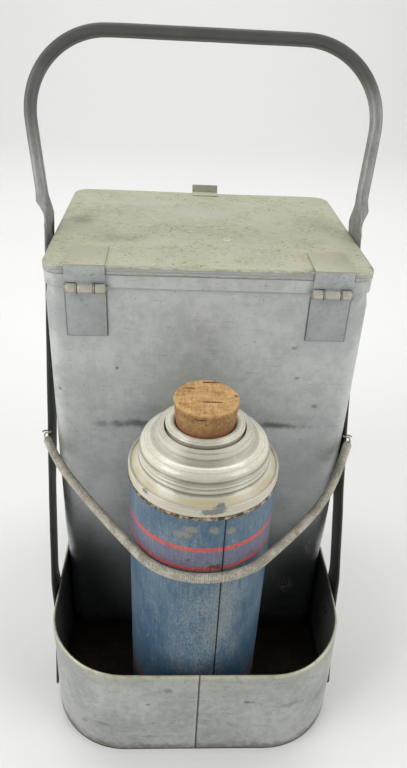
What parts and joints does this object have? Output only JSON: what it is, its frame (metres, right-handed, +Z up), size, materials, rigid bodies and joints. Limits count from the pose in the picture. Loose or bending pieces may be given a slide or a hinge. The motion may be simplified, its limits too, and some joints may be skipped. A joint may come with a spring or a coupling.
{
  "type": "lunch carrier with vacuum bottle",
  "caption": "Sheet-metal lunch carrier: a hinged-lid box on a tray with a tall strip handle and a corked vacuum bottle held by a spring.",
  "frame": {"origin": "on the surface it stands on, under the middle of the lid's front edge", "axes": "+Z up, +X to the right as seen from the front, +Y to the back, from the bottle to the box"},
  "size_m": [0.2093, 0.2396, 0.3913],
  "materials": {
    "tray_zinc": "worn, dull",
    "box_zinc": "worn, dull",
    "lid_zinc": "worn, speckled",
    "handle_steel": "worn, dull",
    "bare_steel": "dull",
    "spring_steel": "dull",
    "blue_enamel": "worn satin",
    "spun_aluminium": "polished, tarnished",
    "dark_rubber": "matte",
    "silvered_glass": "silvered",
    "cork": "matte"
  },
  "bodies": {
    "carrier": {"tray_floor": "tray_zinc", "tray_band": "tray_zinc", "box_body": "box_zinc", "box_bottom": "box_zinc", "box_rim_band": "box_zinc", "left_hinge_box_leaf": "box_zinc", "right_hinge_box_leaf": "box_zinc", "left_hinge_pin": "bare_steel", "right_hinge_pin": "bare_steel", "carry_handle": "handle_steel", "handle_rivets": "bare_steel", "retaining_spring": "spring_steel"},
    "lid": {"lid_cover": "lid_zinc", "left_hinge_lid_leaf": "lid_zinc", "right_hinge_lid_leaf": "lid_zinc", "lid_catch": "lid_zinc"},
    "bottle": {"bottle_casing": "blue_enamel", "casing_bottom_cap": "bare_steel", "bottle_shoulder": "spun_aluminium", "neck_ring": "spun_aluminium", "neck_gasket": "dark_rubber", "glass_liner": "silvered_glass", "liner_base_pad": "dark_rubber"},
    "stopper": {"cork_stopper": "cork"}
  },
  "joints": [
    {"name": "lid_hinge", "type": "hinge", "parent": "carrier", "child": "lid", "pos_m": [0, -0.00185, 0.272], "axis": [1, 0, 0], "range_deg": [0, 38]},
    {"name": "bottle_lift", "type": "slide", "parent": "carrier", "child": "bottle", "axis": [0, 0, 1], "range_m": [0, 0.074]},
    {"name": "cork_pull", "type": "slide", "parent": "bottle", "child": "stopper", "axis": [0, 0, 1], "range_m": [0, 0.03]}
  ]
}
